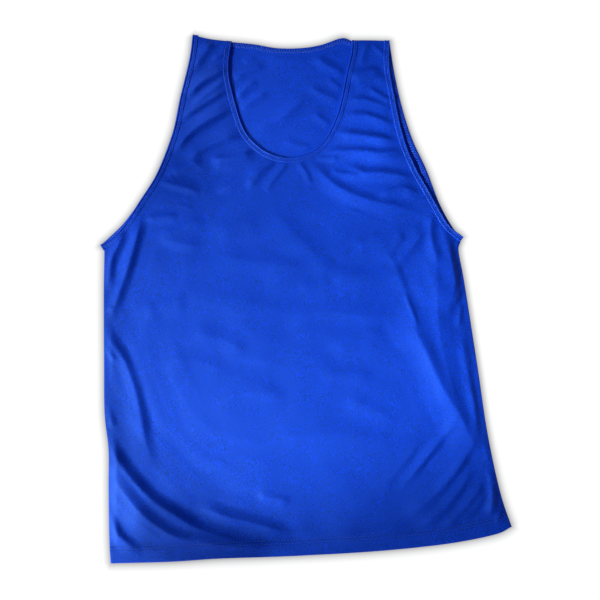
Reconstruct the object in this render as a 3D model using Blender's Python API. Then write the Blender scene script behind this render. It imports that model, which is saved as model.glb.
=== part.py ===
"""Training bib: a sleeveless polyester sports vest that lies flat, front side up.

The vest lies on its back panel. The front panel lies on the back panel, the two meet at the shoulder and
side seams, and narrow strips bind the neck and the armholes. Frame: +X to the right of the vest as it is
looked at from above, +Y from hem to shoulders, +Z up, origin under the middle of the vest on the surface.
Lengths in this script are millimetres; MM turns them into metres when a mesh is made.
"""

import math
from collections import namedtuple

import bmesh
import bpy
import numpy as np
from mathutils import Vector
from mathutils.geometry import delaunay_2d_cdt

MM = 0.001

# ---------------------------------------------------------------- driving dimensions
WALL = 1.2                # cloth of a panel, with its nap and the air in the knit
SEAM_GAP = 0.3            # clearance between pieces that are sewn to each other
EDGE_THICK = 1.8          # where the cloth is doubled: hem, seam allowance, binding
HEM_DEPTH = 20.0          # cloth turned up at the hem
SEAM_ALLOWANCE = 8.0      # doubled cloth along the side and shoulder seams
BINDING_WIDTH = 7.0       # neck and armhole strips, edge to stitched side
BINDING_ROLL = 2.4        # the strip's rolled outer rim
BINDING_RIM = 1.2         # thickness of the strip at its very edge
LAY_LIFT = 0.6            # air between the panels, away from the seams
NECK_LIFT = -0.9          # how much higher the front lies at the neck edge than elsewhere
ARMHOLE_LIFT = 0.3        # the same at the armholes
SEAM_RISE = 13.0          # the front reaches its full height this far from a seam
LIFT_REACH = 26.0         # width of the raised band along neck and armholes
HEM_EDGE_SHARE = 0.25     # share of the lift and the folds that is left at the hem's edge
HEM_REACH = 32.0          # width over which the hem calms them
DOUBLED_FULL = 0.85       # doubled cloth is full up to this share of its width
DOUBLED_END = 1.15        # and has thinned to one layer by this share

EDGE_STEP = 11.0          # spacing of points along an outline
FRONT_STEP = 15.0         # spacing of points inside the front panel
BACK_STEP = 52.0          # inside the back panel, where the front covers it
NECK_STEP = 11.0          # inside the back panel, where the neck leaves it bare
FOLD_STEP = 11.0          # along a fold
CLOSEST = 5.5             # two points inside a panel are never nearer than this

BLUE = (0.010, 0.058, 0.560)
BLUE_DEEP = (0.008, 0.048, 0.470)
BLUE_INSIDE = (0.009, 0.052, 0.510)

# ---------------------------------------------------------------- the cut, as it lies
# Each edge is a smooth curve through a few places. Columns: x, y.
SHOULDER_LEFT = ((-158.7, 373.7), (-133, 367.5), (-101, 363.5))
SHOULDER_RIGHT = ((75, 365.3), (100, 365.5), (130.5, 364.7))
NECK_FRONT = ((-101, 363.5), (-105, 323), (-98.5, 284), (-82, 231), (-61, 204.5), (-38, 191), (-13, 187.5),
              (10, 193.5), (30, 208.5), (45, 233.5), (56.5, 266), (67, 317), (73.5, 345), (75, 365.3))
NECK_BACK = ((-101, 363.5), (-68, 360), (-35, 354.2), (0, 354.2), (30, 359.2), (60, 369.7), (75, 365.3))
ARMHOLE_RIGHT_FRONT = ((130.5, 364.7), (129.8, 323), (136.7, 277), (146.7, 223), (162, 178), (183, 137),
                       (208, 90), (230, 70))
ARMHOLE_RIGHT_BACK = ((130.5, 364.7), (136.7, 317), (146.7, 265), (161, 215), (180, 170), (197.5, 120),
                      (216, 84), (230, 70))
ARMHOLE_LEFT_FRONT = ((-282.5, 59), (-266, 69), (-249.5, 88), (-230, 120), (-206, 162), (-184.5, 223),
                      (-174.5, 277), (-162.5, 335), (-158.7, 373.7))
ARMHOLE_LEFT_BACK = ((-282.5, 59), (-268, 73), (-251, 91), (-231, 120), (-207, 162), (-185.5, 223),
                     (-175.5, 277), (-163.5, 335), (-158.7, 373.7))
SIDE_RIGHT = ((225, 63), (222.5, 50), (228.3, 12), (235.8, -47), (245, -122), (253, -192), (262.5, -250),
              (271.7, -292), (282.5, -326))
SIDE_LEFT = ((-253, -372.3), (-255.8, -342), (-259.2, -275), (-261, -225), (-268.3, -175), (-271.7, -102),
             (-275.3, -13), (-276.5, 45), (-277.3, 53))
HEM_FRONT = ((282.5, -326), (260, -336), (200, -347.5), (110, -357), (0, -363.3), (-100, -366.7),
             (-173, -370), (-253, -372.3))
HEM_BACK = ((282.5, -326), (260, -336), (200, -347.5), (110, -357), (0, -363.3), (-100, -367),
            (-173, -371.6), (-253, -373.7))

# ---------------------------------------------------------------- the folds
# A fold is a ridge with one steep and one gentle side. Its path runs down the steep side, which faces
# left as the path is walked. Columns: name, height, width of the steep side, width of the gentle side,
# path.
Fold = namedtuple("Fold", "name height steep gentle path")

FRONT_FOLDS = (
    Fold("underarm_left_rim", 5.2, 10, 16, ((-242, 82), (-255, 53), (-264, 32), (-267, 10), (-266, -10))),
    Fold("underarm_left", 4.4, 10, 20, ((-221, 112), (-224, 85), (-237, 30), (-253, -23), (-265, -60))),
    Fold("flank_left", 3.8, 11, 34, ((-280, -44), (-263, -70), (-241, -99), (-225, -136), (-214, -177),
                                     (-206, -215), (-192, -250))),
    Fold("flank_left_short", 3.4, 9, 12, ((-270, -158), (-258, -182), (-252, -197))),
    Fold("hem_left_broad", 2.6, 40, 38, ((-270, -205), (-250, -262), (-216, -302), (-180, -326), (-130, -344),
                                         (-60, -354))),
    Fold("hem_left_large", 5.8, 13, 34, ((-296, -140), (-282, -168), (-270, -192), (-260, -213), (-238, -243),
                                         (-219, -265), (-194, -289), (-167, -306), (-151, -316), (-133, -324),
                                         (-94, -337), (-40, -350))),
    Fold("hem_left_lower", 6.4, 13, 28, ((-256, -240), (-245, -262), (-233, -278), (-208, -306), (-180, -326),
                                         (-161, -335), (-140, -340), (-108, -344), (-60, -349), (30, -357))),
    Fold("hem_left_corner", 4.8, 9, 18, ((-262, -296), (-257, -308), (-250, -320), (-241, -333), (-226, -346),
                                         (-208, -352))),
    Fold("hem_middle", 4.6, 13, 30, ((-140, -294), (-118, -302), (-92, -310), (-75, -313), (-58, -318),
                                     (-28, -326), (-6, -330))),
    Fold("chest_left_a", 4.2, 7, 20, ((-104, 319), (-140, 298), (-164, 274))),
    Fold("chest_left_b", 3.6, 6, 18, ((-101, 288), (-133, 268), (-176, 238))),
    Fold("chest_left_c", 5.2, 7, 22, ((-95, 259), (-147, 228), (-184, 190))),
    Fold("chest_left_d", 4.4, 8, 22, ((-79, 216), (-116, 207), (-168, 178))),
    Fold("chest_left_e", 3.2, 8, 18, ((-136, 182), (-165, 169), (-190, 158))),
    Fold("chest_left_f", 4.4, 8, 24, ((-132, 186), (-98, 189), (-66, 202))),
    Fold("chest_left_g", 2.4, 8, 20, ((-44, 176), (-82, 150), (-122, 130))),
    Fold("shoulder_left", 2.9, 9, 14, ((-124, 366), (-138, 341), (-154, 318))),
    Fold("neck_low", 2.4, 9, 18, ((-32, 182), (-52, 165), (-76, 136))),
    Fold("shoulder_right", 2.9, 10, 18, ((68, 306), (88, 318), (118, 324))),
    Fold("shoulder_right_low", 2.5, 10, 16, ((76, 288), (98, 304), (128, 314))),
    Fold("chest_right_a", 3.7, 10, 20, ((46, 226), (82, 223), (103, 220), (142, 213))),
    Fold("chest_right_b", 3.9, 10, 20, ((26, 199), (90, 199), (115, 196), (155, 202))),
    Fold("chest_right_c", 3.5, 10, 18, ((66, 181), (91, 167), (117, 167), (166, 159))),
    Fold("chest_right_d", 3.2, 12, 22, ((10, 190), (53, 148), (98, 128), (172, 110))),
    Fold("chest_right_e", 2.7, 9, 16, ((104, 131), (130, 140), (147, 144), (172, 135))),
    Fold("underarm_right_a", 3.0, 10, 14, ((190, 108), (187, 73), (196, 28))),
    Fold("underarm_right_b", 2.8, 11, 20, ((182, 84), (155, 47), (128, 24))),
    Fold("flank_right_crest", 3.7, 14, 26, ((200, 98), (210, 67), (217, 33), (220, 2), (212, -28),
                                            (204, -48))),
    Fold("flank_right_top", 1.6, 10, 26, ((114, 70), (137, 26), (154, -20), (170, -66))),
    Fold("flank_right_long", 4.8, 22, 40, ((142, -10), (160, -46), (180, -90), (199, -134), (221, -171),
                                           (237, -204), (255, -240))),
    Fold("flank_right_slope", 4.2, 36, 44, ((200, 76), (203, 20), (204, -60), (216, -120), (232, -186))),
    Fold("flank_right_outer", 2.0, 10, 12, ((224, -62), (233, -122), (240, -165), (243, -218))),
    Fold("side_right_low", 3.7, 9, 12, ((262, -244), (263, -275), (256, -318))),
    Fold("hem_right_a", 2.3, 10, 26, ((236, -218), (207, -259), (172, -296), (138, -320))),
    Fold("hem_right_b", 2.5, 9, 22, ((240, -243), (216, -280), (190, -309), (150, -334))),
    Fold("hem_right_c", 2.4, 8, 16, ((253, -264), (232, -292), (207, -318), (184, -334))),
    Fold("hem_right_low", 2.1, 11, 22, ((40, -336), (100, -330), (150, -314))),
    Fold("middle_a", 1.1, 20, 38, ((-44, 122), (7, 68), (56, 10))),
    Fold("middle_b", 1.5, 18, 38, ((-124, 50), (-43, 38), (20, 34))),
    Fold("middle_c", 1.4, 20, 40, ((-26, -42), (32, -30), (130, -40))),
    Fold("middle_d", 1.3, 24, 44, ((-62, -200), (50, -197), (130, -200))),
    Fold("middle_e", 1.5, 18, 36, ((-158, -56), (-98, -72), (-66, -96))),
)

BACK_FOLDS = (
    Fold("neck_bare_a", 2.1, 10, 14, ((-50, 324), (-78, 315), (-97, 300))),
    Fold("neck_bare_b", 2.0, 9, 12, ((-60, 300), (-77, 290), (-91, 272))),
    Fold("neck_bare_c", 1.9, 9, 12, ((-45, 284), (-70, 268), (-88, 256))),
    Fold("neck_bare_d", 2.2, 14, 18, ((25, 275), (3, 267), (-30, 238), (-74, 219))),
    Fold("neck_bare_e", 2.0, 10, 14, ((12, 299), (35, 285), (60, 278))),
    Fold("neck_bare_f", 2.2, 11, 14, ((21, 346), (38, 332), (68, 316))),
    Fold("neck_bare_g", 1.7, 9, 12, ((18, 258), (32, 247), (47, 236))),
)
FOLD_FADE = 0.27          # share of a fold's length over which it rises and sinks at each end
CREST = -0.35             # where the crest is, and the foot, in widths of the steep side from the path
FOOT = 0.85
ROUNDNESS = 0.4           # 0 is steepest at the crest, 1 is steepest halfway down


# ---------------------------------------------------------------- curves in the plane
def smooth_curve(places, step):
    """Points about step apart on a smooth curve through the places, ends included."""
    p = np.array(places, float)
    ends = np.vstack([2 * p[0] - p[1], p, 2 * p[-1] - p[-2]])
    dense = []
    for a, b, c, d in zip(ends, ends[1:], ends[2:], ends[3:]):
        for t in np.arange(0, 1, 0.05):
            dense.append(0.5 * (2 * b + (c - a) * t + (2 * a - 5 * b + 4 * c - d) * t ** 2
                                + (3 * b - a - 3 * c + d) * t ** 3))
    dense = np.array(dense + [p[-1]])
    run = np.concatenate([[0], np.cumsum(np.linalg.norm(np.diff(dense, axis=0), axis=1))])
    stations = np.linspace(0, run[-1], max(2, round(run[-1] / step) + 1))
    return np.column_stack([np.interp(stations, run, dense[:, k]) for k in (0, 1)])


def moved_left(curve, distance):
    """The curve moved sideways, to the left as it is walked."""
    along = np.gradient(curve, axis=0)
    along /= np.linalg.norm(along, axis=1)[:, None]
    return curve + distance * np.column_stack([-along[:, 1], along[:, 0]])


def locate(curve, points):
    """For each point: how far along the curve its nearest place is, and how far to the curve's left."""
    best = np.full(len(points), np.inf)
    along = np.zeros(len(points))
    across = np.zeros(len(points))
    start = 0.0
    for a, b in zip(curve, curve[1:]):
        leg = b - a
        length = np.linalg.norm(leg)
        leg = leg / length
        rel = points - a
        t = np.clip(rel @ leg, 0, length)
        away = rel - t[:, None] * leg
        distance = np.hypot(away[:, 0], away[:, 1])
        nearer = distance < best
        side = np.where(leg[0] * rel[:, 1] - leg[1] * rel[:, 0] >= 0, 1.0, -1.0)
        best = np.where(nearer, distance, best)
        along = np.where(nearer, start + t, along)
        across = np.where(nearer, side * distance, across)
        start += length
    return along, across, start


def distance_to(curves, points):
    """Distance from each point to the nearest of some curves."""
    return np.min([np.abs(locate(curve, points)[1]) for curve in curves], axis=0)


def is_inside(loop, points):
    """Whether each point lies inside a closed loop."""
    x, y = points[:, 0], points[:, 1]
    inside = np.zeros(len(points), bool)
    for (ax, ay), (bx, by) in zip(loop, np.roll(loop, -1, axis=0)):
        crosses = (ay > y) != (by > y)
        if ay != by:
            inside ^= crosses & (x < (bx - ax) * (y - ay) / (by - ay) + ax)
    return inside


def ease(share):
    """0 to 1 without corners, for a share that is cut off at 0 and 1."""
    share = np.clip(share, 0, 1)
    return share * share * (3 - 2 * share)


# ---------------------------------------------------------------- heights over the surface
def edge(places):
    return smooth_curve(places, EDGE_STEP)


NECK_RIM = edge(NECK_FRONT)
SEAMS = [edge(places) for places in (SHOULDER_LEFT, SHOULDER_RIGHT, SIDE_LEFT, SIDE_RIGHT)]
ARMHOLE_RIMS = [edge(ARMHOLE_LEFT_FRONT), edge(ARMHOLE_RIGHT_FRONT)]


def flank(share):
    """Height of one side of a fold: 1 at the crest, 0 at the foot."""
    share = np.clip(share, 0, 1)
    return (1 - share) ** 2 * (1 + 2 * ROUNDNESS * share)


def fold_height(folds, points):
    """Height that a table of folds adds at each point."""
    total = np.zeros(len(points))
    for fold in folds:
        along, across, length = locate(smooth_curve(fold.path, FOLD_STEP / 2), points)
        fade = FOLD_FADE * length
        strength = ease(along / fade) * ease((length - along) / fade)
        from_crest = across - CREST * fold.steep
        width = np.where(from_crest > 0, (FOOT - CREST) * fold.steep, -fold.gentle)
        total += fold.height * strength * flank(from_crest / width)
    return total


def doubled(distance, width):
    """How much of the doubling there is this far from an edge: 1 on it, 0 past the width."""
    return 1 - ease((distance / width - DOUBLED_FULL) / (DOUBLED_END - DOUBLED_FULL))


def back_over(points):
    """Upper side of the back panel: plain under the front, creased where the neck leaves it bare."""
    hem = doubled(distance_to([edge(HEM_BACK)], points), HEM_DEPTH)
    seam = doubled(distance_to(SEAMS, points), SEAM_ALLOWANCE)
    bare = ease(-neck_side(points) / BINDING_WIDTH)
    return WALL + (EDGE_THICK - WALL) * np.maximum(hem, seam) + bare * fold_height(BACK_FOLDS, points)


def neck_side(points):
    """Distance from the front neck edge: positive on the front's cloth, negative in the opening."""
    across = locate(NECK_RIM, points)[1]
    opening = is_inside(np.vstack([NECK_RIM, edge(NECK_BACK)[::-1]]), points)
    return np.where(opening, -np.abs(across), np.abs(across))


def front_under(points):
    """Underside of the front panel: seated on the back at the seams, lifted and folded between them."""
    from_seam = ease(distance_to(SEAMS, points) / SEAM_RISE)
    from_hem = ease(distance_to([edge(HEM_FRONT)], points) / HEM_REACH)
    from_hem = HEM_EDGE_SHARE + (1 - HEM_EDGE_SHARE) * from_hem
    neck = NECK_LIFT * (1 - ease(np.abs(neck_side(points)) / LIFT_REACH))
    armhole = ARMHOLE_LIFT * (1 - ease(distance_to(ARMHOLE_RIMS, points) / LIFT_REACH))
    lift = from_hem * (LAY_LIFT + fold_height(FRONT_FOLDS, points)) + neck + armhole
    return EDGE_THICK + SEAM_GAP + from_seam * lift


def front_over(points):
    """Upper side of the front panel: its wall, thicker where the hem is turned up."""
    hem = doubled(distance_to([edge(HEM_FRONT)], points), HEM_DEPTH)
    return front_under(points) + WALL + (EDGE_THICK - WALL) * hem


def flat(points):
    """Underside of what rests on the surface."""
    return np.zeros(len(points))


# ---------------------------------------------------------------- points inside a panel
def lattice(loop, step, margin, keep=None):
    """A triangular lattice inside a closed loop, no nearer to it than a margin."""
    low, high = loop.min(axis=0), loop.max(axis=0)
    rows = []
    for row, y in enumerate(np.arange(low[1], high[1], step * math.sqrt(0.75))):
        shift = step / 2 if row % 2 else 0.0
        rows += [(x + shift, y) for x in np.arange(low[0], high[0], step)]
    points = np.array(rows)
    points = points[is_inside(loop, points)]
    closed = np.vstack([loop, loop[:1]])
    points = points[distance_to([closed], points) > margin]
    return points if keep is None else points[keep(points)]


def fold_points(folds):
    """Points on the crest of each fold and down both its sides."""
    rows = []
    for fold in folds:
        middle = smooth_curve(fold.path, FOLD_STEP)
        crest = CREST * fold.steep
        foot = FOOT * fold.steep
        for offset in (crest, (crest + foot) / 2, foot, crest - fold.gentle / 2, crest - fold.gentle):
            rows.append(moved_left(middle, offset))
    return np.vstack(rows)


def thinned(groups, loop):
    """The groups' points, first come first kept, none too near another or the loop's edge."""
    closed = np.vstack([loop, loop[:1]])
    kept = []
    for group in groups:
        group = group[is_inside(loop, group)]
        for point in group[distance_to([closed], group) > CLOSEST]:
            if all(math.hypot(point[0] - x, point[1] - y) > CLOSEST for x, y in kept):
                kept.append((point[0], point[1]))
    return np.array(kept)


def spaced(points, others, gap):
    """The points that have none of the others within the gap."""
    nearest = np.array([np.min(np.hypot(*(others - point).T)) for point in points])
    return points[nearest > gap]


# ---------------------------------------------------------------- meshes
def material(name, colour, roughness):
    made = bpy.data.materials.new(name)
    made.use_nodes = True
    shader = made.node_tree.nodes["Principled BSDF"]
    shader.inputs["Base Color"].default_value = (*colour, 1.0)
    shader.inputs["Roughness"].default_value = roughness
    shader.inputs["Metallic"].default_value = 0.0
    made.diffuse_color = (*colour, 1.0)
    return made


def add_object(name, bm, finish, collection):
    mesh = bpy.data.meshes.new(name)
    bmesh.ops.recalc_face_normals(bm, faces=bm.faces)
    bm.to_mesh(mesh)
    bm.free()
    mesh.materials.append(finish)
    made = bpy.data.objects.new(name, mesh)
    collection.objects.link(made)
    return made


def thicken(bm, under, over):
    """Turn a flat sheet into a wall between two height functions."""
    bottom = list(bm.verts)
    grown = bmesh.ops.extrude_face_region(bm, geom=list(bm.faces))["geom"]
    top = [item for item in grown if isinstance(item, bmesh.types.BMVert)]
    for verts, height in ((bottom, under), (top, over)):
        places = np.array([vert.co.xy for vert in verts])
        for vert, z in zip(verts, height(places)):
            vert.co.z = z
    bmesh.ops.scale(bm, vec=(MM, MM, MM), verts=bm.verts)


def panel_sheet(loop, inner):
    """A flat sheet of triangles that fills a loop and uses the inner points."""
    places = [Vector(place) for place in np.vstack([loop, inner])]
    verts, _, faces, _, _, _ = delaunay_2d_cdt(places, [], [list(range(len(loop)))], 1, 1e-4)
    bm = bmesh.new()
    made = [bm.verts.new((place.x, place.y, 0.0)) for place in verts]
    for face in faces:
        bm.faces.new([made[index] for index in face])
    return bm


def strip_sheet(rim):
    """A flat ribbon between an edge curve and the same curve moved onto the cloth."""
    bm = bmesh.new()
    rows = [[bm.verts.new((x, y, 0.0)) for x, y in moved_left(rim, -across)]
            for across in (0.0, BINDING_ROLL, BINDING_WIDTH)]
    for outer, inner in zip(rows, rows[1:]):
        for a, b, c, d in zip(outer, outer[1:], inner[1:], inner):
            bm.faces.new((a, b, c, d))
    return bm


def binding_thickness(rim, points):
    """A strip is full where it rolls over the edge and thin at its very rim."""
    inward = np.abs(locate(rim, points)[1])
    return BINDING_RIM + (EDGE_THICK - BINDING_RIM) * ease(inward / BINDING_ROLL)


def add_panel(name, loop, inner, under, over, finish, collection):
    bm = panel_sheet(loop, inner)
    thicken(bm, under, over)
    return add_object(name, bm, finish, collection)


def add_binding(name, places, under, finish, collection):
    rim = edge(places)
    bm = strip_sheet(rim)
    thicken(bm, under, lambda points: under(points) + binding_thickness(rim, points))
    return add_object(name, bm, finish, collection)


# ---------------------------------------------------------------- the two panels' loops
def panel_loop(neck, armhole_right, hem, armhole_left):
    """Clockwise loop of a panel: it stops short of the strips that bind its neck and armholes."""
    inset = BINDING_WIDTH + SEAM_GAP
    neck_edge = moved_left(edge(neck), -inset)
    right_edge = moved_left(edge(armhole_right), -inset)
    left_edge = moved_left(edge(armhole_left), -inset)
    shoulder_left = SEAMS[0][1:-1]
    shoulder_left = shoulder_left[(shoulder_left[:, 0] > left_edge[-1][0] + CLOSEST / 2)
                                  & (shoulder_left[:, 0] < neck_edge[0][0] - CLOSEST / 2)]
    shoulder_right = SEAMS[1][1:-1]
    shoulder_right = shoulder_right[(shoulder_right[:, 0] > neck_edge[-1][0] + CLOSEST / 2)
                                    & (shoulder_right[:, 0] < right_edge[0][0] - CLOSEST / 2)]
    return np.vstack([shoulder_left, neck_edge, shoulder_right, right_edge, edge(SIDE_RIGHT)[1:-1],
                      edge(hem), edge(SIDE_LEFT)[1:-1], left_edge])


def build():
    for old in list(bpy.data.objects):
        bpy.data.objects.remove(old)
    collection = bpy.data.collections.new("training_bib")
    bpy.context.scene.collection.children.link(collection)
    cloth = material("polyester_knit", BLUE, 0.55)
    inside = material("polyester_knit_inside", BLUE_INSIDE, 0.6)
    strip = material("binding_knit", BLUE_DEEP, 0.6)

    front_loop = panel_loop(NECK_FRONT, ARMHOLE_RIGHT_FRONT, HEM_FRONT, ARMHOLE_LEFT_FRONT)
    hem_row = smooth_curve(HEM_FRONT, EDGE_STEP * 1.5)
    hem_rows = [moved_left(hem_row, -share * HEM_DEPTH) for share in (DOUBLED_FULL, DOUBLED_END)]
    folds = thinned([fold_points(FRONT_FOLDS)] + hem_rows, front_loop)
    plain = spaced(lattice(front_loop, FRONT_STEP, FRONT_STEP / 2), folds, FRONT_STEP * 0.6)
    inner = np.vstack([folds, plain])
    add_panel("front_panel", front_loop, inner, front_under, front_over, cloth, collection)

    back_loop = panel_loop(NECK_BACK, ARMHOLE_RIGHT_BACK, HEM_BACK, ARMHOLE_LEFT_BACK)
    bare = thinned([fold_points(BACK_FOLDS)], back_loop)
    bare = bare[neck_side(bare) < BINDING_WIDTH]
    near = lattice(back_loop, NECK_STEP, NECK_STEP / 2, lambda points: neck_side(points) < BINDING_WIDTH)
    bare = np.vstack([bare, spaced(near, bare, NECK_STEP * 0.6)])
    covered = spaced(lattice(back_loop, BACK_STEP, BACK_STEP / 4), bare, BACK_STEP * 0.5)
    add_panel("back_panel", back_loop, np.vstack([bare, covered]), flat, back_over, inside, collection)

    strips = (
        ("neck_binding_front", NECK_FRONT, front_under),
        ("neck_binding_back", NECK_BACK, flat),
        ("armhole_binding_right_front", ARMHOLE_RIGHT_FRONT, front_under),
        ("armhole_binding_right_back", ARMHOLE_RIGHT_BACK, flat),
        ("armhole_binding_left_front", ARMHOLE_LEFT_FRONT, front_under),
        ("armhole_binding_left_back", ARMHOLE_LEFT_BACK, flat),
    )
    for name, places, under in strips:
        add_binding(name, places, under, strip, collection)


build()
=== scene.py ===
"""Looks of a sleeveless training vest laid flat, front side up: knit shells, bound edges, sewing, light.

Frame: +X to the right as looked at from above, +Y from hem to shoulders, +Z up, the surface at z = 0.
Lengths in the tables are millimetres; MM turns them into metres when a mesh is made. "Left" and "right" are
as seen from above. The edge and fold tables are those of the solids, followed by finer creases that only
show here.
"""

import math
from collections import namedtuple

import bpy
import numpy as np
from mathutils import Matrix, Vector
from mathutils.geometry import delaunay_2d_cdt


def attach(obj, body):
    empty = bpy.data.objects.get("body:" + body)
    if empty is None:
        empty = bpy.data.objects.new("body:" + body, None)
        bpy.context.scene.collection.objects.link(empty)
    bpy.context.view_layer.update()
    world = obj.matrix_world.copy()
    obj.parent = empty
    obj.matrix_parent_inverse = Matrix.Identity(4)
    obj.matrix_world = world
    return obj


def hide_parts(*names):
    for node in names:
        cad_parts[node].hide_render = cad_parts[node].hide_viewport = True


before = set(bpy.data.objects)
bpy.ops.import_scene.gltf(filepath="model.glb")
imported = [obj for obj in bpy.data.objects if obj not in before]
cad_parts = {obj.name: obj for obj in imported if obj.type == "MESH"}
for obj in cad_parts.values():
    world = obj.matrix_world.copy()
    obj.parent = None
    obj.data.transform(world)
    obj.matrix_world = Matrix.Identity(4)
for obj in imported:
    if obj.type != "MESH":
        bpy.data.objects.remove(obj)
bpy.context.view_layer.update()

MM = 0.001

# ------------ driving dimensions
WALL = 1.2            # cloth of a panel
SEAM_GAP = 0.3        # clearance between the layers at a seam
EDGE_THICK = 1.8      # where the cloth is doubled
HEM_DEPTH = 20.0      # cloth turned up at the hem
SEAM_ALLOWANCE = 8.0  # doubled cloth along the side and shoulder seams
STRIP_WIDTH = 8.6     # neck and armhole strips, rim to inner side
STRIP_COVER = 5.5     # the panel runs under the strip up to here
LAY_LIFT = 0.6        # air between the panels, away from the seams
NECK_LIFT = -0.9      # how much higher the front lies at the neck edge; below zero is lower
ARMHOLE_LIFT = 0.3    # the same at the armholes
SEAM_RISE = 13.0      # the front reaches its full height this far from a seam
LIFT_REACH = 26.0     # width of the band along neck and armholes where they act
HEM_EDGE_SHARE = 0.25  # share of the lift and the folds that is left at the hem's edge
HEM_REACH = 32.0      # width over which the hem calms them
DOUBLED_FULL = 0.85   # doubled cloth is full up to this share of its width
DOUBLED_END = 1.15    # and has thinned to one layer by this share
EDGE_ROUND = 1.1      # rounding of a panel's free edge
RIM_SHARE = 0.12      # share of a panel's thickness that is left at its very rim

EDGE_STEP = 3.0       # spacing of points along an outline
FRONT_STEP = 2.75     # spacing of points inside the front panel
BARE_STEP = 2.9       # inside the back panel, where it shows
COVERED_STEP = 14.0   # inside the back panel, under the front
STRIP_STEP = 2.2      # along a strip

GRAIN_TILT = math.radians(5.5)   # how far the knit's ribs lean left of +Y, as the vest lies
WALE = 0.95           # spacing of the knit's ribs
COURSE = 0.75         # spacing of its rows of loops

# ------------ the cut, as it lies
# Each edge is a smooth curve through a few places. Columns: x, y.
SHOULDER_LEFT = ((-158.7, 373.7), (-133, 367.5), (-101, 363.5))
SHOULDER_RIGHT = ((75, 365.3), (100, 365.5), (130.5, 364.7))
NECK_FRONT = ((-101, 363.5), (-105, 323), (-98.5, 284), (-82, 231), (-61, 204.5), (-38, 191), (-13, 187.5),
              (10, 193.5), (30, 208.5), (45, 233.5), (56.5, 266), (67, 317), (73.5, 345), (75, 365.3))
NECK_BACK = ((-101, 363.5), (-68, 360), (-35, 354.2), (0, 354.2), (30, 359.2), (60, 369.7), (75, 365.3))
ARMHOLE_RIGHT_FRONT = ((130.5, 364.7), (129.8, 323), (136.7, 277), (146.7, 223), (162, 178), (183, 137),
                       (208, 90), (230, 70))
ARMHOLE_RIGHT_BACK = ((130.5, 364.7), (136.7, 317), (146.7, 265), (161, 215), (180, 170), (197.5, 120),
                      (216, 84), (230, 70))
ARMHOLE_LEFT_FRONT = ((-282.5, 59), (-266, 69), (-249.5, 88), (-230, 120), (-206, 162), (-184.5, 223),
                      (-174.5, 277), (-162.5, 335), (-158.7, 373.7))
ARMHOLE_LEFT_BACK = ((-282.5, 59), (-268, 73), (-251, 91), (-231, 120), (-207, 162), (-185.5, 223),
                     (-175.5, 277), (-163.5, 335), (-158.7, 373.7))
SIDE_RIGHT = ((225, 63), (222.5, 50), (228.3, 12), (235.8, -47), (245, -122), (253, -192), (262.5, -250),
              (271.7, -292), (282.5, -326))
SIDE_LEFT = ((-253, -372.3), (-255.8, -342), (-259.2, -275), (-261, -225), (-268.3, -175), (-271.7, -102),
             (-275.3, -13), (-276.5, 45), (-277.3, 53))
HEM_FRONT = ((282.5, -326), (260, -336), (200, -347.5), (110, -357), (0, -363.3), (-100, -366.7),
             (-173, -370), (-253, -372.3))
HEM_BACK = HEM_FRONT[:5] + ((-100, -367), (-173, -371.6), (-253, -373.7))

# ------------ the folds
# A fold is a ridge with one steep and one gentle side. Its path runs down the steep side, which faces
# left as the path is walked. Columns: name, height, width of the steep side, width of the gentle side,
# path.
Fold = namedtuple("Fold", "name height steep gentle path")

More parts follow.
